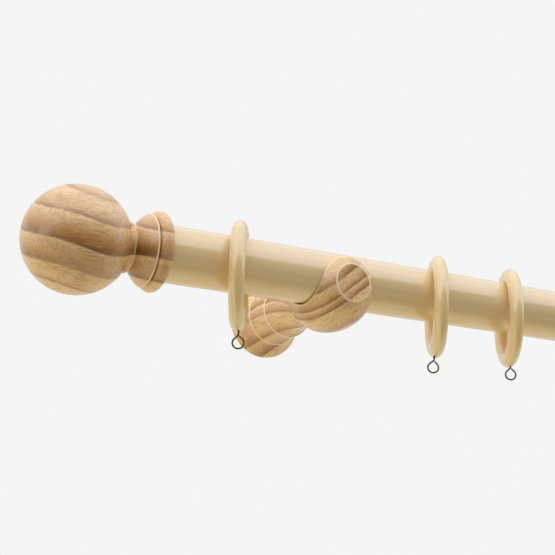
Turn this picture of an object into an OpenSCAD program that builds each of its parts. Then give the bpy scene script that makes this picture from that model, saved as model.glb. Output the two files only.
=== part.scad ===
// Wooden curtain pole on two wall brackets, with ball finials and curtain rings.
// +X runs along the pole, +Z is up, and the wall is the plane Y = 0 with the room at Y < 0.
// The origin lies on the wall, midway between the brackets, on the axis of both brackets.

/* [Pole] */
// Length of the pole without its finials
pole_length = 1200; // [1050:1:2400]
// Diameter of the pole
pole_d = 28; // [26:0.1:28]
// How far the pole's axis lies above the brackets' axis
pole_rise = 5.66; // [5:0.01:7]

/* [Brackets] */
// Distance from each end of the pole to the middle of its bracket
bracket_inset = 95.45; // [90:0.05:100]
// Distance from the wall to the pole's axis
projection = 77; // [77:0.5:90]
// Clearance between the pole and its cradle
cradle_gap = 0.3; // [0.2:0.05:0.5]

/* [Finials] */
// Radius of the ball
ball_r = 25.6; // [24:0.1:27]
// Distance from the end of the pole to the middle of the ball
ball_offset = 41.6; // [41.3:0.1:43]
// Gap between the finial's collar and the end of the pole
finial_gap = 0.2; // [0.1:0.05:0.4]

/* [Rings] */
// Outer diameter of a ring
ring_d = 55.3; // [54:0.1:56]
// Thickness of a ring's section, measured towards the ring's middle
ring_radial = 7.9; // [7.8:0.1:8]
// Thickness of a ring's section, measured along the ring's axis
ring_axial = 7.8; // [7:0.1:7.8]
// Clearance between a hanging ring and the top of the pole
ring_gap = 0.2; // [0.2:0.05:0.5]

/* [Screw eyes] */
// Diameter of the wire
wire_d = 1; // [0.9:0.1:1.2]
// Radius of the round part of the loop, to the middle of the wire
loop_r = 2.8; // [2.6:0.1:3]

/* [Hardware] */
// Radius of the double-ended screw that holds a finial
dowel_r = 2.5; // [2:0.1:3]
// Clearance around that screw in its two holes
dowel_gap = 0.05; // [0.03:0.01:0.08]
// Height of the wall screws above and below the bracket's axis
screw_offset = 10.5; // [10:0.1:11]
// Radius of the holes for the wall screws
screw_hole_r = 2.2; // [2:0.1:2.4]

/* [Hidden] */
$fn = 96;
steps = 24;
eps = 0.01;

pole_r = pole_d / 2;
pole_end = pole_length / 2;
bracket_x = pole_end - bracket_inset;
SIDES = [[-1, "left"], [1, "right"]];

// Each ring: its place along the pole, its turn about the vertical and its lean, in degrees, then the length
// of its screw eye's shank that shows, how far off the middle the eye sits, and its tilt in degrees.
RINGS = [
    [-557.9, -29.3, 1.3, 1.9, 0.8, 0],
    [-438.9, -29.5, 1.7, 1.8, -1.2, 6.5],
    [-389.6, -28.9, 1.2, 0.5, 0.25, 0],
    [-280, -26, -1.5, 1.2, 0.2, -2],
    [-170, -29, 1, 0.9, -0.3, 1.5],
    [-60, -23, -0.5, 1.4, 0.4, 3],
    [60, -27, 2, 1, 0, -3],
    [170, -29, -1, 0.7, -0.5, 1],
    [280, -24, 0.5, 1.3, 0.3, 2.5],
    [389.6, -28, -2, 0.9, 0.1, -1],
    [438.9, -22, 1.5, 1.1, -0.4, 2],
    [557.9, -26, 0, 1.2, 0.5, -2.5]
];
// A leaning ring rides a little higher on the pole.
rise_per_degree = 0.07;

ring_r = ring_d / 2;
ring_mid_r = ring_r - ring_radial / 2;
ring_drop = ring_r - ring_radial - pole_r - ring_gap;

// Bracket, as distances from the wall and radii about its own axis.
bracket_front = 96.69;
face_r = 9.3;
bulb_mid = 73.5;
bulb_long_r = 26.5;
bulb_r = 20.3;
bulb_back = 60;
waist_at = 47;
waist_r = 12.6;
neck_top_r = 13.5;
rim_front = [28.96, 14.56];
rim_back = [14.13, 15.95];
rim_width = 1;
rim_step = 0.8;
foot_edge = [0.78, 21.06];
foot_back_r = 20.5;

// Wall plate, with a boss that the bracket slides over.
plate_r = 16;
plate_t = 2.5;
boss_r = 6;
boss_end = 16.5;
groove_r = 5.2;
groove_at = 9.5;
groove_half = 2.2;
screw_head_r = 4.2;
fit_gap = 0.15;
plate_room = [plate_r + 0.3, plate_t + 0.3];
head_room = [14.9, 5.5];

// Grub screw that clamps the bracket to the boss.
grub_r = 2;
grub_bottom = 5.3;
grub_top = 15.2;
grub_socket = 2.2;

// Finial, as distances from its flat end and radii about the pole's axis.
rim_mid = 3.4;
rim_half = 3.6;
rim_base_r = 15.5;
rim_swell = 4;
collar_groove_r = 16.3;
collar_groove = [7, 7.4];
collar_lip = [8.1, 17.6];
neck = [15.2, 9.8];
fillet_r = 12.1;
fillet_start = 17;

// Double-ended screw, and the holes for it.
dowel_in_pole = 24;
dowel_in_finial = 22;
hole_spare = 1.5;

// Screw eye: its shank, and the height of the loop's peak above the middle of its round part.
shank_r = 0.6;
shank_hole_r = 0.62;
shank_up = 6;
loop_peak = 3.9;

RING_NAMES = [for (i = [1:len(RINGS)]) str("ring_", i < 10 ? "0" : "", i)];
EYE_NAMES = [for (i = [1:len(RINGS)]) str("ring_eye_", i < 10 ? "0" : "", i)];
PAIRS = ["finial", "dowel_screw", "bracket", "wall_plate", "grub_screw"];

// Points of an ellipse's arc: middle m, radii a and b, angles from a0 to a1.
function arc(m, a, b, a0, a1, n = steps) =
    [for (i = [0:n]) let (t = a0 + (a1 - a0) * i / n) [m[0] + a * cos(t), m[1] + b * sin(t)]];

// A flare from radius r0 at distance d0 to radius r1 at distance d1, that bends with the power p.
function flare(d0, r0, d1, r1, p, n = steps) =
    [for (i = [0:n]) let (t = i / n) [r0 + (r1 - r0) * pow(t, p), d0 + (d1 - d0) * t]];

// The bell between the finial's neck and the sharp lip of its collar.
function bell(n = steps) =
    let (power = 0.85, depth = collar_lip[1] - neck[1], reach = neck[0] - collar_lip[0])
    [for (i = [0:n])
        let (t = 1 - pow(1 - i / n, 2))
        [collar_lip[1] - depth * pow(1 - pow(1 - t, power), 1 / power), collar_lip[0] + reach * t]];

// Places the children's +Z along the pole, pointing out of the end on that side, with the origin at the end.
module at_pole_end(side, gap = 0)
    translate([side * (pole_end + gap), -projection, pole_rise])
    rotate([0, side * 90, 0])
    children();

// Places the children's +Z along the bracket's axis, out of the wall.
module at_bracket(side)
    translate([side * bracket_x, 0, 0])
    rotate([90, 0, 0])
    children();

// Places the children at a ring, with the ring's own axis along X and its middle at the origin.
module at_ring(ring)
    translate([ring[0], -projection, pole_rise - ring_drop + rise_per_degree * abs(ring[2]) + ring_mid_r])
    rotate([0, ring[2], 0])
    translate([0, 0, -ring_mid_r])
    rotate([0, 0, ring[1]])
    children();

// Places the children at a ring's screw eye, with the shank along Z and its mouth at the origin.
module at_eye(ring)
    at_ring(ring)
    translate([ring[4], 0, -ring_r])
    rotate([0, ring[5], 0])
    children();

// A round rod between two points of the plane Y = 0.
module rod(from, to, r)
    translate([from[0], 0, from[1]])
    rotate([0, atan2(to[0] - from[0], to[1] - from[1]), 0])
    cylinder(h = norm(to - from), r = r);

module pole()
    color("#ecdfc2")
    difference() {
        translate([-pole_end, -projection, pole_rise])
        rotate([0, 90, 0])
        cylinder(h = pole_length, r = pole_r);
        for (side = SIDES)
            at_pole_end(side[0])
            translate([0, 0, -dowel_in_pole - hole_spare])
            cylinder(h = dowel_in_pole + hole_spare + 1, r = dowel_r + dowel_gap);
    }

module finial(side) {
    fillet_turn = fillet_start - neck[0];
    fillet_rise = fillet_r - neck[1];
    ball_start = acos(fillet_r / ball_r);
    outline = concat(
        [[0, 0]],
        [for (p = arc([rim_mid, rim_base_r], rim_half, rim_swell, acos(-rim_mid / rim_half), 0, 20)) [p[1], p[0]]],
        [[collar_groove_r, collar_groove[0]]],
        [[collar_groove_r, collar_groove[1]]],
        [[collar_lip[1], collar_groove[1]]],
        bell(),
        [for (p = arc([neck[0], neck[1] + fillet_rise], fillet_turn, fillet_rise, -85, 0, 8)) [p[1], p[0]]],
        arc([0, ball_offset], ball_r, ball_r, -ball_start, 90, 48)
    );
    color("#d2a878")
    at_pole_end(side, finial_gap)
    difference() {
        rotate_extrude() polygon(outline);
        translate([0, 0, -1])
        cylinder(h = dowel_in_finial + hole_spare + 1, r = dowel_r + dowel_gap);
    }
}

module dowel_screw(side)
    color("silver")
    at_pole_end(side, finial_gap / 2)
    translate([0, 0, -dowel_in_pole])
    cylinder(h = dowel_in_pole + dowel_in_finial, r = dowel_r);

// The turned outline of a bracket, from the wall to its flat front face.
module bracket_outline() {
    front_angle = asin((bracket_front - bulb_mid) / bulb_long_r);
    back_angle = asin((bulb_back - bulb_mid) / bulb_long_r);
    step_front = rim_front[0] - rim_width;
    step_back = rim_back[0] - rim_width;
    foot_flare = [for (i = [0:steps]) let (t = i / steps)
        [rim_back[1] - rim_step + (foot_edge[1] - rim_back[1] + rim_step) * pow(sin(90 * t), 1.7),
         step_back + (foot_edge[0] - step_back) * t]];
    polygon(concat(
        [[0, bracket_front], [face_r, bracket_front]],
        arc([0, bulb_mid], bulb_r, bulb_long_r, front_angle - 1.5, back_angle, 2 * steps),
        flare(bulb_back - eps, neck_top_r, waist_at, waist_r, 0.6, 10),
        flare(waist_at - eps, waist_r, rim_front[0], rim_front[1], 4),
        [[rim_front[1], step_front]],
        flare(step_front - eps, rim_front[1] - rim_step, rim_back[0], rim_back[1], 2),
        [[rim_back[1], step_back]],
        foot_flare,
        [[foot_back_r, 0], [0, 0]]
    ));
}

module bracket(side) {
    cradle_r = pole_r + cradle_gap;
    color("#cfa273")
    difference() {
        at_bracket(side) rotate_extrude() bracket_outline();
        translate([side * bracket_x, -projection, pole_rise])
        rotate([0, 90, 0])
        cylinder(h = 3 * bulb_r, r = cradle_r, center = true);
        translate([side * bracket_x - 1.5 * bulb_r, -projection - cradle_r, pole_rise])
        cube([3 * bulb_r, 2 * cradle_r, 2 * bulb_r]);
        at_bracket(side) {
            translate([0, 0, -1]) cylinder(h = plate_room[1] + 1, r = plate_room[0]);
            translate([0, 0, -1]) cylinder(h = head_room[1] + 1, r = head_room[0]);
            translate([0, 0, -1]) cylinder(h = boss_end + 2, r = boss_r + fit_gap);
        }
        translate([side * bracket_x, -groove_at, 0])
        cylinder(h = foot_edge[1], r = grub_r + eps);
    }
}

module wall_plate(side)
    color("silver")
    at_bracket(side)
    difference() {
        rotate_extrude()
        polygon([
            [0, 0], [plate_r, 0], [plate_r, plate_t], [boss_r, plate_t],
            [boss_r, groove_at - groove_half], [groove_r, groove_at - groove_half],
            [groove_r, groove_at + groove_half], [boss_r, groove_at + groove_half],
            [boss_r, boss_end], [0, boss_end]
        ]);
        for (end = [-1, 1])
            translate([0, end * screw_offset, 0]) {
                translate([0, 0, -1]) cylinder(h = plate_t + 2, r = screw_hole_r);
                translate([0, 0, 1])
                cylinder(h = plate_t - 1 + eps, r1 = screw_hole_r, r2 = screw_head_r);
            }
    }

module grub_screw(side)
    color("dimgray")
    translate([side * bracket_x, -groove_at, 0])
    difference() {
        translate([0, 0, grub_bottom]) cylinder(h = grub_top - grub_bottom, r = grub_r);
        translate([0, 0, grub_top - grub_socket]) cylinder(h = grub_socket + 1, d = 2.3, $fn = 6);
    }

// The round section of a ring, a little deeper than it is wide.
module ring_section() {
    flat = (ring_radial - ring_axial) / 2;
    for (end = [-1, 1])
        translate([ring_mid_r + end * flat, 0])
        circle(d = ring_axial);
    translate([ring_mid_r, 0])
    square([2 * flat, ring_axial], center = true);
}

module ring(ring)
    color("#efe4c9")
    difference() {
        at_ring(ring) rotate([0, 90, 0]) rotate_extrude() ring_section();
        at_eye(ring) translate([0, 0, -1]) cylinder(h = shank_up + 1.2, r = shank_hole_r);
    }

module ring_eye(ring) {
    turn = asin(loop_r / loop_peak);
    loop_mid = ring[3] + loop_peak;
    peak = [0, -ring[3]];
    color("#5b4a2c")
    at_eye(ring) {
        translate([0, 0, peak[1] - wire_d / 2]) cylinder(h = shank_up - peak[1] + wire_d / 2, r = shank_r);
        for (end = [-1, 1])
            rod(peak, [end * loop_r * cos(turn), loop_r * sin(turn) - loop_mid], wire_d / 2);
        translate([0, 0, -loop_mid])
        rotate([90, 0, 0])
        rotate([0, 0, 180 - turn])
        rotate_extrude(angle = 180 + 2 * turn)
        translate([loop_r, 0]) circle(d = wire_d);
    }
}

pole();
for (s = SIDES) finial(s[0]);
for (s = SIDES) dowel_screw(s[0]);
for (s = SIDES) bracket(s[0]);
for (s = SIDES) wall_plate(s[0]);
for (s = SIDES) grub_screw(s[0]);
for (i = [0:len(RINGS) - 1]) ring(RINGS[i]);
for (i = [0:len(RINGS) - 1]) ring_eye(RINGS[i]);
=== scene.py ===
"""Visual model of a wooden curtain pole on two turned brackets, with ball finials and curtain rings."""
import math

import bmesh
import bpy
from mathutils import Matrix, Vector


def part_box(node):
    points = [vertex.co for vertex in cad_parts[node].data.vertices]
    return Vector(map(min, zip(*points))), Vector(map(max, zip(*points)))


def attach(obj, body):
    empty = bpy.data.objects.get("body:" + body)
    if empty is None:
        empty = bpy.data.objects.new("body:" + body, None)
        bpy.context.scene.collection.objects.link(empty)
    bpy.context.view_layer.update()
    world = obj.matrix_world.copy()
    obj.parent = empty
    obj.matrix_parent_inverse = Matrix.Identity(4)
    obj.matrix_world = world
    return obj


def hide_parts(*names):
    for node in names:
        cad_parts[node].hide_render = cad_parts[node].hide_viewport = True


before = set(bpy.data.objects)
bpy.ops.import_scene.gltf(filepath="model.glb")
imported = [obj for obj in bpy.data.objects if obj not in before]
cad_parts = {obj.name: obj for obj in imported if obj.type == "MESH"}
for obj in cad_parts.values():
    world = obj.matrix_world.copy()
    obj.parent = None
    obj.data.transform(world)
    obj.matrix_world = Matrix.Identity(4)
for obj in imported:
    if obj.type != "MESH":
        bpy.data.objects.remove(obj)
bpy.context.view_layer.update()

MM = 0.001
SIDES = ((-1, "left"), (1, "right"))

# Places and main sizes, read from the frame.
pole_low, pole_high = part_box("pole")
POLE_END = pole_high.x
POLE_Y = (pole_low.y + pole_high.y) / 2
POLE_Z = (pole_low.z + pole_high.z) / 2
POLE_R = (pole_high.z - pole_low.z) / 2 / MM
bracket_low, bracket_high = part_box("bracket_right")
BRACKET_X = (bracket_low.x + bracket_high.x) / 2
BRACKET_FRONT = -bracket_low.y / MM

# Rings, as in the CAD model: place along the pole in millimetres, turn about the vertical and lean in
# degrees; then for the screw eye, how much of its shank shows and how far off the ring's middle it sits, in
# millimetres, and its tilt in degrees.
RINGS = (
    (-557.9, -29.3, 1.3, 1.9, 0.8, 0),
    (-438.9, -29.5, 1.7, 1.8, -1.2, 6.5),
    (-389.6, -28.9, 1.2, 0.5, 0.25, 0),
    (-280, -26, -1.5, 1.2, 0.2, -2),
    (-170, -29, 1, 0.9, -0.3, 1.5),
    (-60, -23, -0.5, 1.4, 0.4, 3),
    (60, -27, 2, 1, 0, -3),
    (170, -29, -1, 0.7, -0.5, 1),
    (280, -24, 0.5, 1.3, 0.3, 2.5),
    (389.6, -28, -2, 0.9, 0.1, -1),
    (438.9, -22, 1.5, 1.1, -0.4, 2),
    (557.9, -26, 0, 1.2, 0.5, -2.5),
)
# Half the thickness of a ring's section, outward and along the ring's axis, and the radius of its middle.
RING_RADIAL = 3.95
RING_AXIAL = 3.9
RING_MID_R = 23.7
RING_R = RING_MID_R + RING_RADIAL
# How far the middle of an upright ring hangs below the pole's axis, and how much a lean lifts it.
RING_DROP = 5.55
RISE_PER_DEGREE = 0.07

# Finials: the gap between collar and pole, the ball, measured from the collar's end face, and the hole for
# the double-ended screw, in the finial and in the pole.
FINIAL_GAP = 0.2
BALL_MIDDLE = 41.6
BALL_R = 25.59
SCREW_HOLE_R = 2.55

# The growth rings that show in each piece of pine, as growth_ramp takes them: the place of a band's dark
# edge, its strength and its width, in millimetres.
BANDS = {
    "finial_left": (
        (-22.0, 0.42, 4), (-12.0, 0.55, 6), (0.8, 1.0, 11),
        (12.0, 0.8, 9), (20.7, 0.5, 3), (27.5, 0.4, 5)),
    "finial_right": (
        (-20.0, 0.7, 5), (-9.4, 0.5, 7), (-1.5, 0.95, 6),
        (9.8, 0.6, 8), (19.0, 0.9, 6), (27.0, 0.4, 4)),
    "bracket_left": (
        (-17.4, 0.85, 5), (-10.6, 0.8, 3.5), (-6.2, 1.0, 3.4),
        (5.8, 0.75, 5), (14.5, 0.8, 6), (23.0, 0.5, 5)),
    "bracket_right": (
        (-17.0, 0.6, 5), (-10.2, 0.9, 3), (-3.4, 0.5, 5),
        (4.0, 0.95, 4), (12.5, 0.6, 6), (21.0, 0.8, 5)),
}


# ---------------------------------------------------------------- mesh helpers

def bezier(a, control, b, steps):
    """Points strictly between a and b on a quadratic curve."""
    found = []
    for i in range(1, steps):
        t = i / steps
        found.append(tuple(
            (1 - t) ** 2 * p + 2 * t * (1 - t) * q + t * t * r for p, q, r in zip(a, control, b)))
    return found


def sweep(start, end, steps, power):
    """Outline points strictly between two (along, radius) points. The radius nears its end value as a power
    of the way that is left, so a power over 1 starts steep and ends level."""
    found = []
    for i in range(1, steps):
        left = 1 - i / steps
        found.append((end[0] + (start[0] - end[0]) * left, end[1] + (start[1] - end[1]) * left ** power))
    return found


def rounded(points):
    """Rounds the corners of an outline. It takes (along, radius, rounding, pale edge) and gives (along,
    radius, pale edge); the pale edge is wear and a painted highlight. A face narrower than `narrow` takes the
    pale edge of the corners beside it."""
    steps, support, narrow = 5, 0.12, 1.4
    out = []
    for i, (along, radius, size, wear_and_highlight) in enumerate(points):
        here = Vector((along, radius))
        if not size or i in (0, len(points) - 1):
            out.append((along, radius, wear_and_highlight))
            continue
        before = Vector(points[i - 1][:2]) - here
        after = Vector(points[i + 1][:2]) - here
        reach_in = min(size, before.length * 0.45)
        reach_out = min(size, after.length * 0.45)
        start = here + before.normalized() * reach_in
        end = here + after.normalized() * reach_out
        wear_and_highlight_in = min(wear_and_highlight, points[i - 1][3]) if before.length < narrow else 0
        wear_and_highlight_out = min(wear_and_highlight, points[i + 1][3]) if after.length < narrow else 0
        out.append((*(start + before.normalized() * min(support, before.length * 0.04)), wear_and_highlight_in))
        out.append((*start, max(wear_and_highlight_in, wear_and_highlight * 0.5)))
        out += [(*p, wear_and_highlight) for p in bezier(start, here, end, steps)]
        out.append((*end, max(wear_and_highlight_out, wear_and_highlight * 0.5)))
        out.append((*(end + after.normalized() * min(support, after.length * 0.04)), wear_and_highlight_out))
    return out


def plain(curve):
    """Turns (along, radius) points into outline points without rounding and without the pale edge of wear and
    painted highlight.
    """
    return [(a, r, 0, 0) for a, r in curve]


def mesh_object(name, verts, faces, wear_and_highlight=None):
    """A smooth-shaded object from points in millimetres, with the pale edge of each point, wear and painted
    highlight, as an attribute.
    """
    mesh = bpy.data.meshes.new(name)
    mesh.from_pydata([Vector(v) * MM for v in verts], [], faces)
    if wear_and_highlight is not None:
        layer = mesh.attributes.new("arris", "FLOAT", "POINT")
        layer.data.foreach_set("value", wear_and_highlight)
    work = bmesh.new()
    work.from_mesh(mesh)
    bmesh.ops.recalc_face_normals(work, faces=work.faces)
    work.to_mesh(mesh)
    work.free()
    mesh.polygons.foreach_set("use_smooth", [True] * len(mesh.polygons))
    obj = bpy.data.objects.new(name, mesh)
    bpy.context.scene.collection.objects.link(obj)
    return obj


def place(obj, matrix):
    """Bakes a placement in metres into the mesh, so that the object itself stays at the origin."""
    obj.data.transform(matrix)


def lathe(name, outline, segments):
    """A closed turned solid about +Z. The outline runs from axis to axis as (along, radius, pale edge of wear
    and painted highlight).
    """
    verts, faces, wear_and_highlight, rows = [], [], [], []
    for along, radius, worn_and_highlit in outline:
        if radius < 1e-6:
            rows.append([len(verts)] * segments)
            verts.append((0, 0, along))
            wear_and_highlight.append(worn_and_highlit)
            continue
        rows.append(list(range(len(verts), len(verts) + segments)))
        for k in range(segments):
            turn = 2 * math.pi * k / segments
            verts.append((radius * math.cos(turn), radius * math.sin(turn), along))
            wear_and_highlight.append(worn_and_highlit)
    for low, high in zip(rows, rows[1:]):
        for k in range(segments):
            n = (k + 1) % segments
            face = [low[k], low[n], high[n], high[k]]
            face = [v for i, v in enumerate(face) if v != face[i - 1]]
            if len(face) > 2:
                faces.append(face)
    return mesh_object(name, verts, faces, wear_and_highlight)


def loft(name, loops, wear_and_highlight):
    """A closed solid through loops of equal length, with a cap on each end."""
    count = len(loops[0])
    verts = [p for loop in loops for p in loop]
    faces = []
    for i in range(len(loops) - 1):
        for k in range(count):
            n = (k + 1) % count
            faces.append([i * count + k, i * count + n, (i + 1) * count + n, (i + 1) * count + k])
    for i in (0, len(loops) - 1):
        middle = sum((Vector(p) for p in loops[i]), Vector()) / count
        verts.append(tuple(middle))
        wear_and_highlight.append(0)
        faces += [[len(verts) - 1, i * count + k, i * count + (k + 1) % count] for k in range(count)]
    return mesh_object(name, verts, faces, wear_and_highlight)


def tube(name, path, radii, sides=16):
    """A round wire along a path, closed at both ends."""
    points = [Vector(p) for p in path]
    tangents = [(points[min(i + 1, len(points) - 1)] - points[max(i - 1, 0)]).normalized()
                for i in range(len(points))]
    side = tangents[0].orthogonal().normalized()
    loops = []
    for point, tangent, radius in zip(points, tangents, radii):
        side = (side - tangent * side.dot(tangent)).normalized()
        other = tangent.cross(side)
        loops.append([tuple(point + (side * math.cos(a) + other * math.sin(a)) * radius)
                      for a in (2 * math.pi * k / sides for k in range(sides))])
    return loft(name, loops, [0.0] * (len(points) * sides))


def along_pole_end(side, gap):
    """Local +Z points out of the pole's end on that side. The origin is a gap in mm beyond its middle."""
    return (Matrix.Translation((side * (POLE_END + gap * MM), POLE_Y, POLE_Z))
            @ Matrix.Rotation(side * math.pi / 2, 4, "Y"))


def at_ring(ring):
    """The middle of a ring that hangs on the pole, with local X along the ring's own axis."""
    x, turn, lean = ring[:3]
    lift = (-RING_DROP + RISE_PER_DEGREE * abs(lean) + RING_MID_R) * MM
    return (Matrix.Translation((x * MM, POLE_Y, POLE_Z + lift))
            @ Matrix.Rotation(math.radians(lean), 4, "Y")
            @ Matrix.Translation((0, 0, -RING_MID_R * MM))
            @ Matrix.Rotation(math.radians(turn), 4, "Z"))


def at_eye(ring):
    """The mouth of the hole for a ring's screw eye, with the shank along Z."""
    off_middle, tilt = ring[4:]
    return (at_ring(ring) @ Matrix.Translation((off_middle * MM, 0, -RING_R * MM))
            @ Matrix.Rotation(math.radians(tilt), 4, "Y"))


# ---------------------------------------------------------------- materials

class Nodes:
    """Short calls for the nodes of one node tree."""

    def __init__(self, tree):
        self.tree = tree

    def find(self, kind):
        return next(node for node in self.tree.nodes if node.type == kind)

    def add(self, kind, links=None, **settings):
        node = self.tree.nodes.new(kind)
        for key, value in settings.items():
            setattr(node, key, value)
        for key, value in (links or {}).items():
            self.set(node.inputs[key], value)
        return node

    def set(self, socket, value):
        if isinstance(value, bpy.types.NodeSocket):
            self.tree.links.new(value, socket)
        else:
            socket.default_value = value

    def math(self, operation, *values):
        return self.add("ShaderNodeMath", dict(enumerate(values)), operation=operation).outputs[0]

    def vector(self, operation, *values, out=0):
        return self.add("ShaderNodeVectorMath", dict(enumerate(values)), operation=operation).outputs[out]

    def dot(self, a, b):
        return self.vector("DOT_PRODUCT", a, b, out="Value")

    def noise(self, where, scale, detail=2.0, rough=0.5):
        links = {"Vector": where, "Scale": scale, "Detail": detail, "Roughness": rough, "Distortion": 0.0}
        return self.add("ShaderNodeTexNoise", links).outputs["Fac"]

    def ramp(self, value, stops):
        node = self.add("ShaderNodeValToRGB", {0: value})
        ramp = node.color_ramp
        ramp.interpolation = "LINEAR"
        for i, (position, colour) in enumerate(stops):
            stop = ramp.elements[i] if i < 2 else ramp.elements.new(position)
            stop.position = position
            stop.color = colour
        return node.outputs["Color"]

    def range(self, value, low, high, to_low=0.0, to_high=1.0):
        node = self.add("ShaderNodeMapRange", {0: value, 1: low, 2: high, 3: to_low, 4: to_high},
                        interpolation_type="SMOOTHSTEP")
        return node.outputs[0]

    def mix(self, factor, a, b):
        node = self.add("ShaderNodeMix", data_type="RGBA", clamp_factor=True)
        self.set(node.inputs[0], factor)
        self.set(node.inputs[6], a)
        self.set(node.inputs[7], b)
        return node.outputs[2]


class Surface(Nodes):
    """A new material: its nodes lead to the Principled shader that it comes with."""

    def __init__(self, name):
        self.material = bpy.data.materials.new(name)
        self.material.use_nodes = True
        super().__init__(self.material.node_tree)
        self.shader = self.find("BSDF_PRINCIPLED")

    def bump(self, height, strength, distance):
        node = self.add("ShaderNodeBump", {"Height": height, "Strength": strength, "Distance": distance})
        self.set(self.shader.inputs["Normal"], node.outputs[0])

    def finish(self, **inputs):
        for key, value in inputs.items():
            self.set(self.shader.inputs[key.replace("_", " ")], value)
        return self.material

    def millimetres(self, origin=(0, 0, 0)):
        """Place in the row frame, in millimetres from the origin, which is in metres."""
        here = self.add("ShaderNodeTexCoord").outputs["Object"]
        return self.vector("MULTIPLY", self.vector("SUBTRACT", here, origin), (1000, 1000, 1000))


def rgb(red, green, blue):
    """Linear colour from the usual 0 to 255 values."""
    def linear(c):
        c /= 255
        return c / 12.92 if c <= 0.04045 else ((c + 0.055) / 1.055) ** 2.4

    return (linear(red), linear(green), linear(blue), 1.0)


def growth_ramp(bands, reach, light, mid, dark):
    """Colour stops across the growth rings. Each band is (place of its edge, strength, width) in mm: the wood
    darkens over that width up to the edge, and is pale again just beyond it."""
    def blend(a, b, t):
        return tuple(p + (q - p) * t for p, q in zip(a, b))

    def at(depth):
        return (depth + reach) / (2 * reach)

    half_edge, half_way = 0.45, 0.45
    stops = [(0.0, light)]
    for edge, strength, width in bands:
        stops.append((at(edge - width), blend(light, mid, 0.3 * strength)))
        stops.append((at(edge - width * half_way), blend(light, mid, strength)))
        stops.append((at(edge - half_edge), blend(mid, dark, 1.25 * strength - 0.25)))
        stops.append((at(edge + half_edge), light))
    return stops


def pine(name, origin, growth, grain, bands, seed, knots=(), wave=(0.0, 50.0, 0.0)):
    """Lacquered pine. Growth is the direction across the growth rings and grain the direction along the
    fibres; the bands are placed along growth from the origin, in millimetres. A knot is (its place along
    growth, across and along the grain, size, strength). The wave that the grain makes is (height, length,
    place of its peak)."""
    light, mid, dark = rgb(252, 215, 158), rgb(201, 143, 78), rgb(128, 79, 37)
    reach = 30.0
    growth = Vector(growth).normalized()
    grain = (Vector(grain) - growth * growth.dot(Vector(grain))).normalized()
    across = growth.cross(grain)
    n = Surface(name)
    here = n.millimetres(origin)
    u, v, w = n.dot(here, growth), n.dot(here, across), n.dot(here, grain)
    local = n.add("ShaderNodeCombineXYZ", {0: u, 1: v, 2: w}).outputs[0]
    shifted = n.vector("ADD", local, (seed * 37.0, seed * 91.0, seed * 53.0))

    # The rings bow a little and wander along the grain.
    bow = n.math("MULTIPLY", n.math("MULTIPLY", v, v), 0.0012)
    slow = n.noise(n.vector("MULTIPLY", shifted, (0.03, 0.03, 0.012)), 1.0, 1.0)
    quick = n.noise(n.vector("MULTIPLY", shifted, (0.16, 0.16, 0.03)), 1.0, 2.0)
    wander = n.math("ADD", n.math("MULTIPLY", n.math("SUBTRACT", slow, 0.5), 2.4),
                    n.math("MULTIPLY", n.math("SUBTRACT", quick, 0.5), 1.2))
    swell, length, peak = wave
    swing = n.math("MULTIPLY", n.math("SUBTRACT", w, peak), 2 * math.pi / length)
    wander = n.math("ADD", wander, n.math("MULTIPLY", n.math("COSINE", swing), -swell))
    depth = n.math("ADD", n.math("ADD", u, bow), wander)
    along_ramp = n.math("MULTIPLY", n.math("ADD", depth, reach), 1 / (2 * reach))
    colour = n.ramp(along_ramp, growth_ramp(bands, reach, light, mid, dark))

    # Golden and pinkish clouds of tone, drawn out along the grain.
    golden = n.noise(n.vector("MULTIPLY", shifted, (0.3, 0.14, 0.06)), 1.0, 2.0, 0.6)
    colour = n.mix(n.range(golden, 0.52, 0.72, 0.0, 0.5), colour, rgb(206, 148, 72))
    elsewhere = n.vector("ADD", shifted, (31.0, 7.0, 3.0))
    pinkish = n.noise(n.vector("MULTIPLY", elsewhere, (0.1, 0.08, 0.03)), 1.0, 2.0)
    colour = n.mix(n.range(pinkish, 0.45, 0.65, 0.0, 0.5), colour, rgb(224, 180, 142))

    # Fibres, resin flecks and the stain beside each knot, which ends at the edge of a growth ring.
    fibres = n.noise(n.vector("MULTIPLY", shifted, (1.3, 1.3, 0.07)), 1.0, 3.0, 0.65)
    colour = n.mix(n.range(fibres, 0.46, 0.72, 0.0, 0.6), colour, rgb(172, 114, 58))
    pale = n.range(fibres, 0.46, 0.25, 0.0, 0.4)
    colour = n.mix(pale, colour, rgb(244, 210, 166))
    flecks = n.noise(n.vector("MULTIPLY", shifted, (1.6, 1.6, 0.22)), 1.0, 1.0)
    colour = n.mix(n.range(flecks, 0.64, 0.74, 0.0, 0.5), colour, rgb(140, 90, 44))
    for where, size, strength in knots:
        away = n.vector("MULTIPLY", n.vector("SUBTRACT", local, where), (1, 0.6, 0.8))
        far = n.math("ADD", n.vector("LENGTH", away, out="Value"),
                     n.math("MULTIPLY", n.math("SUBTRACT", quick, 0.5), 4.0))
        side = n.range(depth, where[0] + 1.2, where[0] + 0.4)
        stain = n.math("MULTIPLY", n.range(far, size, size * 0.15, 0.0, strength), side)
        colour = n.mix(stain, colour, rgb(120, 78, 44))

    # Turned corners are painted pale: partly rubbed wear, partly a painted highlight along the edges.
    worn_and_highlit = n.add("ShaderNodeAttribute", attribute_name="arris").outputs["Fac"]
    colour = n.mix(n.math("MULTIPLY", worn_and_highlit, 0.95), colour, rgb(255, 229, 182))

    relief = n.math("ADD", n.math("MULTIPLY", fibres, 0.5), n.math("MULTIPLY", flecks, -0.3))
    n.bump(relief, 0.25, 0.00008)
    roughness = n.math("ADD", n.math("MULTIPLY", fibres, 0.16), 0.38)
    return n.finish(Base_Color=colour, Roughness=roughness, Specular_IOR_Level=0.4,
                    Coat_Weight=0.85, Coat_Roughness=0.22, Coat_IOR=1.5)


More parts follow.
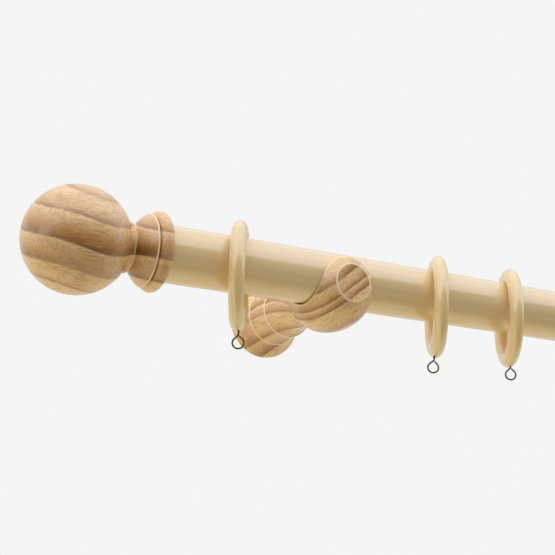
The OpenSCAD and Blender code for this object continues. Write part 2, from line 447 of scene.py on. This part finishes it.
def cream_lacquer(name, grain, tones):
    """Cream lacquer with the faintest trace of the wood under it. The tones are light, streaky and cloudy."""
    n = Surface(name)
    here = n.millimetres()
    streaks = n.noise(n.vector("MULTIPLY", here, grain), 1.0, 3.0, 0.55)
    clouds = n.noise(n.vector("MULTIPLY", here, (0.02, 0.05, 0.05)), 1.0, 2.0)
    colour = n.mix(n.range(streaks, 0.3, 0.75), tones[0], tones[1])
    colour = n.mix(n.range(clouds, 0.35, 0.7, 0.0, 0.5), colour, tones[2])
    peel = n.noise(here, 1.3, 2.0)
    n.bump(n.math("ADD", n.math("MULTIPLY", peel, 0.6), n.math("MULTIPLY", streaks, 0.4)), 0.12, 0.00005)
    roughness = n.math("ADD", n.math("MULTIPLY", clouds, 0.1), 0.3)
    return n.finish(Base_Color=colour, Roughness=roughness, Specular_IOR_Level=0.5,
                    Coat_Weight=1.0, Coat_Roughness=0.1, Coat_IOR=1.7)


def antique_brass(name):
    """Dark wire with a brassy shine where the patina is thin."""
    n = Surface(name)
    here = n.millimetres()
    patina = n.noise(here, 0.9, 4.0, 0.6)
    colour = n.mix(n.range(patina, 0.4, 0.65), rgb(66, 62, 34), rgb(134, 122, 62))
    n.bump(n.noise(here, 6.0, 2.0), 0.2, 0.00003)
    return n.finish(Base_Color=colour, Metallic=0.9, Roughness=n.range(patina, 0.3, 0.7, 0.28, 0.5))


def zinc_steel(name):
    """Zinc-plated steel, brushed and a little clouded."""
    n = Surface(name)
    here = n.millimetres()
    brushed = n.noise(n.vector("MULTIPLY", here, (0.4, 3.0, 6.0)), 1.0, 3.0)
    bloom = n.noise(here, 0.35, 3.0, 0.6)
    colour = n.mix(n.range(bloom, 0.35, 0.7), rgb(196, 198, 200), rgb(160, 164, 170))
    n.bump(brushed, 0.15, 0.00003)
    return n.finish(Base_Color=colour, Metallic=1.0,
                    Roughness=n.math("ADD", n.math("MULTIPLY", brushed, 0.2), 0.26))


# ---------------------------------------------------------------- pieces

def finish_piece(obj, material, node, body):
    """Gives a piece its material, and says which CAD node it replaces and which body it moves with."""
    obj.data.materials.append(material)
    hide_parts(node)
    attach(obj, body)


def make_pole(material):
    """A round bar with a hole for a screw in each end."""
    length = 2 * POLE_END / MM
    bore_depth, edge, end_length, stretches = 25.5, 0.5, 4, 60
    near = rounded([
        (bore_depth, 0, 0, 0), (bore_depth, SCREW_HOLE_R, 0.2, 0), (0, SCREW_HOLE_R, 0.3, 0),
        (0, POLE_R, edge, 0), (end_length, POLE_R, 0, 0)])
    far = [(length - a, r, w) for a, r, w in reversed(near)]
    between = length - 2 * end_length
    middle = [(end_length + between * i / stretches, POLE_R, 0) for i in range(1, stretches)]
    obj = lathe("Pole", near + middle + far, 160)
    place(obj, Matrix.Translation((-POLE_END, POLE_Y, POLE_Z)) @ Matrix.Rotation(math.pi / 2, 4, "Y"))
    finish_piece(obj, material, "pole", "pole")


def finial_outline():
    """From the end of the screw's hole, over the collar's rim, groove, lip and bell, then the neck and the
    fillet, to the top of the ball."""
    bore_depth = 23.5
    rim_end, rim_mid, rim_half, rim_base, rim_swell = 7.0, 3.4, 3.6, 15.5, 4.0
    groove_start, groove_end, groove_r = 7.1, 7.4, 16.3
    lip_start, lip_end, lip_r = 7.45, 8.1, 17.6
    neck, neck_r, bell_power = 15.2, 9.8, 0.85
    fillet_start, fillet_r = 17.0, 12.1

    rim = []
    for i in range(21):
        along = rim_end * (1 - math.cos(math.pi * i / 20)) / 2
        bulge = math.sqrt(max(0, 1 - ((along - rim_mid) / rim_half) ** 2))
        rim.append((along, rim_base + rim_swell * bulge))
    bell = []
    for i in range(1, 25):
        t = 1 - (1 - i / 24) ** 2
        drop = (1 - (1 - t) ** bell_power) ** (1 / bell_power)
        bell.append((lip_end + (neck - lip_end) * t, lip_r - (lip_r - neck_r) * drop))
    cove = []
    for i in range(1, 9):
        a = math.radians(10 * i)
        cove.append((neck + (fillet_start - neck) * math.sin(a),
                     neck_r + (fillet_r - neck_r) * (1 - math.cos(a))))
    ball_start = math.pi - math.asin(fillet_r / BALL_R)
    ball = []
    for i in range(1, 72):
        a = ball_start * (1 - i / 72)
        ball.append((BALL_MIDDLE + BALL_R * math.cos(a), BALL_R * math.sin(a)))
    ball.append((BALL_MIDDLE + BALL_R, 0.0))

    points = [(bore_depth, 0, 0, 0), (bore_depth, SCREW_HOLE_R, 0.2, 0), (0, SCREW_HOLE_R, 0.3, 0)]
    # The last value of each point is its pale edge: wear and a painted highlight.
    points += [(0, rim[0][1], 0.25, 0.6)] + plain(rim[1:-1]) + [(rim_end, rim[-1][1], 0.2, 0)]
    points += [(groove_start, groove_r, 0.15, 0), (groove_end, groove_r, 0.15, 0)]
    points += [(lip_start, lip_r, 0.25, 1), (lip_end, lip_r, 0.4, 1)]
    points += plain(bell + cove)
    points.append((fillet_start, fillet_r, 0.4, 1))
    points.append((BALL_MIDDLE + BALL_R * math.cos(ball_start), fillet_r, 0.2, 0.2))
    points += plain(ball)
    return rounded(points)


def make_finial(side, name, material):
    """A ball finial, turned in one piece."""
    obj = lathe(f"Finial_{name}", finial_outline(), 160)
    place(obj, along_pole_end(side, FINIAL_GAP))
    finish_piece(obj, material, f"finial_{name}", f"finial_{name}")


def make_dowel_screw(side, name, material):
    """A double-ended wood screw with a real thread, pointed at both ends and plain in its middle."""
    low, high, pitch, outer, core = -24.0, 22.0, 2.5, 2.5, 1.75
    point, blunt, thread_half = 4.0, 0.08, 0.3
    plain_mid, plain_half, plain_rise = 0.1, 1.6, 0.6
    sides, step = 24, 0.2
    rows = int((high - low) / step)
    loops = []
    for i in range(rows + 1):
        z = low + (high - low) * i / rows
        to_end = min(z - low, high - z)
        taper = min(1.0, to_end / point) * (1 - blunt) + blunt
        plain_part = plain_rise if abs(z - plain_mid) < plain_half else 0.0
        loop = []
        for k in range(sides):
            phase = (z / pitch - k / sides) % 1.0
            crest = max(0.0, 1 - abs(phase - 0.5) / thread_half)
            radius = (core + (outer - core) * max(crest, plain_part)) * taper
            a = 2 * math.pi * k / sides
            loop.append((radius * math.cos(a), radius * math.sin(a), z))
        loops.append(loop)
    obj = loft(f"Dowel_screw_{name}", loops, [0.0] * (len(loops) * sides))
    place(obj, along_pole_end(side, FINIAL_GAP / 2))
    finish_piece(obj, material, f"dowel_screw_{name}", f"dowel_screw_{name}")


class BracketShape:
    """The turned bracket as loops across its axis. Distances run from the wall, radii from the axis, in mm.
    Every loop has a lower part, a corner on each side and an upper part, with the same number of points."""
    bulb_mid, bulb_long, bulb_r, bulb_back = 73.5, 26.5, 20.3, 60.0
    cradle_r = POLE_R + 0.6
    pole_d = -POLE_Y / MM
    pole_rise = POLE_Z / MM
    lower, corner, upper = 88, 6, 40
    corner_reach = 0.8
    edge_round = 0.6
    # The radius of a point that lies as good as on the axis.
    tip_r = 0.01

    def bulb(self, d):
        return self.bulb_r * math.sqrt(max(0.0, 1 - ((d - self.bulb_mid) / self.bulb_long) ** 2))

    def split(self, r):
        """The angle where a whole circle's parts meet: where the cradle's edge crosses it, if it can."""
        smallest_r, steepest = 9.0, 0.6
        return math.asin(min(steepest, self.pole_rise / max(r, smallest_r)))

    def underside(self, r, a, reach):
        """The lower part of a circle, from just below its right corner round to just below its left one."""
        first = a - reach
        turns = [first - (math.pi + 2 * first) * i / self.lower for i in range(self.lower + 1)]
        return [(r * math.cos(turn), r * math.sin(turn)) for turn in turns]

    def full(self, d, r, upper_r=None, wear_and_highlight=0.0, upper_wear_and_highlight=0.0):
        """A whole circle, whose upper part may be a little smaller."""
        upper_r = r if upper_r is None else upper_r
        smallest_r = 3.0
        a = self.split(r)
        reach = self.corner_reach / max(r, smallest_r)
        points = self.underside(r, a, reach)
        worn_and_highlit = [wear_and_highlight] * len(points)
        left = [math.pi - a + reach - 2 * reach * i / self.corner for i in range(1, self.corner)]
        ends = (math.pi - a - reach, a + reach)
        top = [ends[0] + (ends[1] - ends[0]) * i / self.upper for i in range(self.upper + 1)]
        right = [math.pi - turn for turn in reversed(left)]
        halfway = (r + upper_r) / 2
        for turns, radius in ((left, halfway), (top, upper_r), (right, halfway)):
            points += [(radius * math.cos(turn), radius * math.sin(turn)) for turn in turns]
            worn_and_highlit += [max(wear_and_highlight, upper_wear_and_highlight)] * len(turns)
        return [(x, -d, z) for x, z in points], worn_and_highlit

    def cut(self, d, h):
        """A circle cut off level at height h, with rounded corners that are painted pale for wear and as a
        painted highlight.
        """
        r = self.bulb(d)
        a = math.asin(h / r)
        half = r * math.cos(a)
        inner = half - self.corner_reach
        points = self.underside(r, a, self.corner_reach / r)
        # The corners are painted pale: wear and a painted highlight.
        worn_and_highlit = [1.0] + [0.0] * (len(points) - 2) + [1.0]
        left = bezier(points[-1], (-half, h), (-inner, h), self.corner)
        top = [(-inner + 2 * inner * i / self.upper, h) for i in range(self.upper + 1)]
        right = bezier((inner, h), (half, h), points[0], self.corner)
        points += left + top + right
        worn_and_highlit += [1.0] * len(left) + [0.0] * len(top) + [1.0] * len(right)
        return [(x, -d, z) for x, z in points], worn_and_highlit

    def back_outline(self):
        """From the bottom of the boss's hole, round the foot, over both rims and the waist, to the bulb."""
        hole_r, hole_depth = 6.15, 17.5
        pocket_r, pocket_depth = 14.9, 5.5
        plate_r, plate_depth = 16.3, 2.8
        wall_r = 20.5
        foot_start, foot_start_r, foot_end, foot_end_r, foot_power = 0.78, 21.06, 13.13, 15.15, 1.7
        rim_width, rim_step = 1.0, 0.8
        first_rim_r = foot_end_r + rim_step
        flare_start, flare_end, flare_end_r = foot_end + rim_width, 27.96, 13.76
        second_rim_r = flare_end_r + rim_step
        waist_start, waist, waist_r, neck_r = flare_end + rim_width, 47.0, 12.6, 13.5
        bulb_d = self.bulb_back

        foot = []
        for i in range(23, 1, -1):
            t = i / 24
            bulge = math.sin(math.pi / 2 * t) ** foot_power
            foot.append((foot_end + (foot_start - foot_end) * t,
                         foot_end_r + (foot_start_r - foot_end_r) * bulge))
        points = [(hole_depth, 0, 0, 0), (hole_depth, hole_r, 0.3, 0), (pocket_depth, hole_r, 0.3, 0)]
        points += [(pocket_depth, pocket_r, 0.2, 0), (plate_depth, pocket_r, 0.2, 0)]
        points += [(plate_depth, plate_r, 0.2, 0), (0.0, plate_r, 0.3, 0.4), (0.0, wall_r, 0.3, 0.4)]
        points += [(foot_start, foot_start_r, 0.3, 1)] + plain(foot) + [(foot_end, foot_end_r, 0.2, 0)]
        # The rims' edges are painted pale: wear and a painted highlight.
        points += [(foot_end, first_rim_r, 0.3, 0.8), (flare_start, first_rim_r, 0.5, 1)]
        points += plain(sweep((flare_start, first_rim_r), (flare_end, flare_end_r), 16, 2))
        points += [(flare_end, flare_end_r, 0.2, 0), (flare_end, second_rim_r, 0.3, 0.8)]
        points.append((waist_start, second_rim_r, 0.5, 1))
        points += plain(sweep((waist_start, second_rim_r), (waist, waist_r), 20, 4))
        points += plain([(waist, waist_r)] + sweep((waist, waist_r), (bulb_d, neck_r), 10, 0.6))
        points += [(bulb_d, neck_r, 0.3, 0), (bulb_d, self.bulb(bulb_d), 0.45, 1)]
        points.append((bulb_d + 1, self.bulb(bulb_d + 1), 0, 0))
        return rounded(points)

    def cradle(self):
        """The loops from the cradle's back edge, down its round bottom and up, to its front edge."""
        back_wall = self.pole_d - self.cradle_r
        front_wall = self.pole_d + self.cradle_r
        quarter = [math.radians(90 * i / 4) for i in range(5)]
        steps = 56

        def edge(d, a):
            r = self.bulb(d)
            # The cradle's edge is painted pale: wear and a painted highlight.
            return self.full(d, r, r - self.edge_round * (1 - math.cos(a)), upper_wear_and_highlight=1.0)

        found = [edge(back_wall - self.edge_round * (1 - math.sin(a)), a) for a in quarter]
        for i in range(steps + 1):
            a = math.pi * i / steps
            d = self.pole_d - self.cradle_r * math.cos(a)
            found.append(self.cut(d, self.pole_rise - self.cradle_r * math.sin(a)))
        found += [edge(front_wall + self.edge_round * (1 - math.sin(a)), a) for a in reversed(quarter)]
        return found

    def front_outline(self):
        """From in front of the cradle's edge to the middle of the front face."""
        start = self.pole_d + self.cradle_r + 2 * self.edge_round
        steps, face_inner_r = 6, 4.0
        front = []
        for i in range(steps):
            d = start + (BRACKET_FRONT - start) * i / steps
            front.append((d, self.bulb(d), 0, 0))
        # The rim of the front face is painted pale: wear and a painted highlight.
        front += [(BRACKET_FRONT, self.bulb(BRACKET_FRONT), 0.5, 1), (BRACKET_FRONT, face_inner_r, 0, 0)]
        front.append((BRACKET_FRONT, self.tip_r, 0, 0))
        return rounded(front)

    def loops(self):
        found = [self.full(d, max(r, self.tip_r), wear_and_highlight=wear_and_highlight) for d, r, wear_and_highlight in self.back_outline()]
        found += self.cradle()
        found += [self.full(d, r, wear_and_highlight=wear_and_highlight) for d, r, wear_and_highlight in self.front_outline()]
        return found


def make_bracket(side, name, material):
    """The turned bracket, with the hole for its grub screw drilled from above."""
    hole_r, drill_length = 2.02, 20
    loops = BracketShape().loops()
    obj = loft(f"Bracket_{name}", [points for points, _ in loops], [w for _, worn_and_highlit in loops for w in worn_and_highlit])
    grub_low, grub_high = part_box(f"grub_screw_{name}")
    drill = lathe("Drill", [(0, 0, 0), (0, hole_r, 0), (drill_length, hole_r, 0), (drill_length, 0, 0)], 40)
    place(drill, Matrix.Translation((0, (grub_low.y + grub_high.y) / 2, grub_low.z)))
    cut_away(obj, drill)
    place(obj, Matrix.Translation((side * BRACKET_X, 0, 0)))
    finish_piece(obj, material, f"bracket_{name}", "wall_brackets")


def cut_away(obj, cutter):
    """Takes the cutter out of obj's mesh and deletes the cutter."""
    step = obj.modifiers.new("cut", "BOOLEAN")
    step.operation = "DIFFERENCE"
    step.solver = "EXACT"
    step.object = cutter
    result = bpy.data.meshes.new_from_object(obj.evaluated_get(bpy.context.evaluated_depsgraph_get()))
    obj.modifiers.clear()
    obj.data = result
    bpy.data.objects.remove(cutter)


def ring_section():
    """Half of a ring's section as (outward, axial), from the crest round its outside to the middle of its
    bore. The outside is an arc with a soft crest, and the inside is a squarish quarter of an ellipse. They
    meet on the ring's flank."""
    flank, blunt, bore_power = -0.8, 0.03, 2.15
    rise = RING_RADIAL - flank
    arc_r = (rise ** 2 + RING_AXIAL ** 2) / (2 * RING_AXIAL)
    shift = arc_r - RING_AXIAL
    start = math.atan2(shift, rise)
    points = [(RING_RADIAL - blunt, 0.0)]
    for i in range(1, 13):
        a = start + (math.pi / 2 - start) * i / 12
        points.append((flank + arc_r * math.cos(a), arc_r * math.sin(a) - shift))
    for i in range(1, 13):
        a = math.pi / 2 * i / 13
        inward = (RING_RADIAL + flank) * math.sin(a) ** (2 / bore_power)
        points.append((flank - inward, RING_AXIAL * math.cos(a) ** (2 / bore_power)))
    points.append((-RING_RADIAL, 0.0))
    return points


def make_ring(number, ring, material):
    """A turned ring with a soft crest round its outside."""
    half = ring_section()
    section = half + [(r, -a) for r, a in reversed(half[1:-1])]
    around, across = 128, len(section)
    verts, faces = [], []
    for i in range(around):
        a = 2 * math.pi * i / around
        for k, (outward, axial) in enumerate(section):
            radius = RING_MID_R + outward
            verts.append((axial, radius * math.cos(a), radius * math.sin(a)))
            n, m = (i + 1) % around, (k + 1) % across
            faces.append([i * across + k, i * across + m, n * across + m, n * across + k])
    obj = mesh_object(f"Ring_{number}", verts, faces)
    place(obj, at_ring(ring))
    finish_piece(obj, material, f"ring_{number}", f"ring_{number}")


def make_eye(number, ring, material):
    """A screw eye: a shank in the ring, and a loop drawn to a point where the wire closes on itself."""
    loop_r, peak, wire, shank_r, thread = 2.8, 3.9, 0.44, 0.58, 4.0
    shank = ring[3]
    middle = shank + peak
    # The loop's round part starts and ends where straight lines from its peak touch it.
    touch = math.asin(loop_r / peak)
    start, end = math.pi - touch, 2 * math.pi + touch
    steps, aside, mouth = 40, 0.1, 0.1
    loop = []
    for i in range(steps + 1):
        a = start + (end - start) * i / steps
        loop.append(Vector((math.cos(a) * loop_r, aside * i / steps, math.sin(a) * loop_r - middle)))
    top = Vector((-aside, 0, -shank - 0.2))
    close = Vector((0.36, 0.25, -shank - 0.5))

    path = [(0, 0, thread), (0, 0, thread / 2), (0, 0, mouth), (0, 0, -shank * 0.6), tuple(top)]
    radii = [shank_r, shank_r, 0.56, wire, wire]
    path += [tuple(top.lerp(loop[0], t)) for t in (0.35, 0.7)]
    path += [tuple(point) for point in loop]
    radii += [wire] * (2 + len(loop))
    path += [tuple(loop[-1].lerp(close, t)) for t in (0.35, 0.7, 0.92, 1.0)]
    radii += [wire, wire, wire * 0.96, wire * 0.6]
    obj = tube(f"Ring_eye_{number}", path, radii)
    place(obj, at_eye(ring))
    finish_piece(obj, material, f"ring_eye_{number}", f"ring_{number}")


def build():
    """Makes the materials, then every piece; the wall plates and grub screws keep their CAD meshes."""
    ball_x = POLE_END + (FINIAL_GAP + BALL_MIDDLE) * MM
    pole_tones = (rgb(240, 212, 162), rgb(237, 206, 153), rgb(242, 215, 168))
    ring_tones = (rgb(241, 212, 150), rgb(238, 206, 142), rgb(243, 216, 158))
    cream_pole = cream_lacquer("cream_lacquer_pole", (0.012, 0.9, 0.9), pole_tones)
    cream_ring = cream_lacquer("cream_lacquer_ring", (0.5, 0.5, 0.5), ring_tones)
    brass, steel = antique_brass("antique_brass"), zinc_steel("zinc_steel")
    left_ball, right_ball = (-ball_x, POLE_Y, POLE_Z), (ball_x, POLE_Y, POLE_Z)
    left_foot, right_foot = (-BRACKET_X, 0, 0), (BRACKET_X, 0, 0)
    along_pole, along_bracket = (1, 0, 0), (0, 1, 0)
    stain = ((-0.4, 12.0, 30.0), 9.0, 0.55)
    finial_pine = {
        "left": pine("pine_finial_left", left_ball, (-0.033, 0.435, -0.9), along_pole,
                     BANDS["finial_left"], 1.0, [stain], wave=(1.3, 54.0, 12.0)),
        "right": pine("pine_finial_right", right_ball, (0.05, -0.6, 0.8), along_pole,
                      BANDS["finial_right"], 2.0),
    }
    bracket_pine = {
        "left": pine("pine_bracket_left", left_foot, (0.631, 0.11, -0.768), along_bracket,
                     BANDS["bracket_left"], 3.0, wave=(3.0, 100.0, -80.0)),
        "right": pine("pine_bracket_right", right_foot, (-0.35, 0.06, -0.93), along_bracket,
                      BANDS["bracket_right"], 4.0),
    }
    make_pole(cream_pole)
    for side, name in SIDES:
        make_finial(side, name, finial_pine[name])
        make_dowel_screw(side, name, steel)
        make_bracket(side, name, bracket_pine[name])
        for kind in ("wall_plate", "grub_screw"):
            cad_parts[f"{kind}_{name}"].data.materials[0] = steel
    for i, ring in enumerate(RINGS, 1):
        make_ring(f"{i:02d}", ring, cream_ring)
        make_eye(f"{i:02d}", ring, brass)


# ---------------------------------------------------------------- stage

COOL, NEUTRAL, WARM, AMBER = (0.97, 1.0, 1.06), (1.0, 0.98, 0.92), (1.0, 0.93, 0.72), (1.0, 0.9, 0.62)

# The soft panels of the light tent run parallel to the pole: the angle round the pole where each starts
# (0 is the front, 90 is above), the softness of that edge, its strength at the left and the right, and its
# tint. The front, where the camera stands, is left dark.
PANELS = (
    (26, 4, 1.95, 1.4, COOL),
    (80, 14, 1.3, 0.95, COOL),
    (125, 14, 1.1, 0.6, NEUTRAL),
    (180, 14, 0.85, 0.9, WARM),
    (235, 14, 1.3, 1.1, AMBER),
    (285, 14, 0.25, 0.5, WARM),
    (330, 14, 0.12, 0.26, WARM),
)
# Angles are counted from here right round, so that the join falls in the dark front.
TENT_START = 10


def make_world():
    """The light tent. The camera itself sees a plain pale backdrop."""
    world = bpy.data.worlds.new("World")
    bpy.context.scene.world = world
    world.use_nodes = True
    n = Nodes(world.node_tree)
    toward = n.add("ShaderNodeTexCoord").outputs["Generated"]
    parts = n.add("ShaderNodeSeparateXYZ", {0: toward})
    round_pole = n.math("ARCTAN2", parts.outputs["Z"], n.math("MULTIPLY", parts.outputs["Y"], -1.0))
    degrees = n.math("SUBTRACT", n.math("MULTIPLY", round_pole, 180 / math.pi), float(TENT_START))
    degrees = n.math("ADD", n.math("FLOORED_MODULO", degrees, 360.0), float(TENT_START))
    rightward = n.math("MULTIPLY", n.math("ADD", parts.outputs["X"], 1.0), 0.5)

    def panel(left, right, tint):
        sideways = n.add("ShaderNodeMapRange", {0: rightward, 3: left, 4: right}).outputs[0]
        node = n.add("ShaderNodeVectorMath", {0: tint, "Scale": sideways}, operation="SCALE")
        return node.outputs[0]

    light = panel(*PANELS[-1][2:])
    for start, soft, left, right, tint in PANELS:
        here = n.range(degrees, float(start - soft), float(start + soft))
        light = n.mix(here, light, panel(left, right, tint))
    shade = n.find("BACKGROUND")
    n.set(shade.inputs["Color"], light)
    seen = n.add("ShaderNodeBackground", {"Color": rgb(245, 245, 245)})
    path = n.add("ShaderNodeLightPath")
    pick = n.add("ShaderNodeMixShader", {
        0: path.outputs["Is Camera Ray"], 1: shade.outputs[0], 2: seen.outputs[0]})
    n.set(n.find("OUTPUT_WORLD").inputs["Surface"], pick.outputs[0])


def make_stage():
    """A pale floor, a curtain pole's usual height below it. It throws no light on the pole."""
    floor_z, half = -2.1, 8.0
    mesh = bpy.data.meshes.new("Floor")
    mesh.from_pydata([(-half, -half, floor_z), (half, -half, floor_z), (half, half, floor_z),
                      (-half, half, floor_z)], [], [(0, 1, 2, 3)])
    floor = bpy.data.objects.new("Floor", mesh)
    bpy.context.scene.collection.objects.link(floor)
    n = Surface("pale_floor")
    mesh.materials.append(n.finish(Base_Color=rgb(212, 209, 205), Roughness=0.8))
    floor.visible_diffuse = False
    floor.visible_glossy = False
    bpy.context.scene.view_settings.view_transform = "Standard"


def make_camera():
    """Close to the left end, low and to the left, looking up along the pole."""
    azimuth, elevation, roll = (math.radians(a) for a in (-28.449, -15.816, 0.57))
    from_pole_end = Vector((-0.19615, -0.47823, -0.15706))
    sensor, lens = 36, 73.42
    back = Vector((math.sin(azimuth) * math.cos(elevation), -math.cos(azimuth) * math.cos(elevation),
                   math.sin(elevation)))
    level_right = (-back).cross(Vector((0, 0, 1))).normalized()
    level_up = level_right.cross(-back)
    right = level_right * math.cos(roll) + level_up * math.sin(roll)
    up = level_up * math.cos(roll) - level_right * math.sin(roll)
    data = bpy.data.cameras.new("Camera")
    data.sensor_width = sensor
    data.lens = lens
    camera = bpy.data.objects.new("Camera", data)
    where = Vector((-POLE_END, POLE_Y, POLE_Z)) + from_pole_end
    turned = Matrix((right, up, back)).transposed().to_4x4()
    camera.matrix_world = Matrix.Translation(where) @ turned
    bpy.context.scene.collection.objects.link(camera)
    bpy.context.scene.camera = camera


build()
make_stage()
make_world()
make_camera()
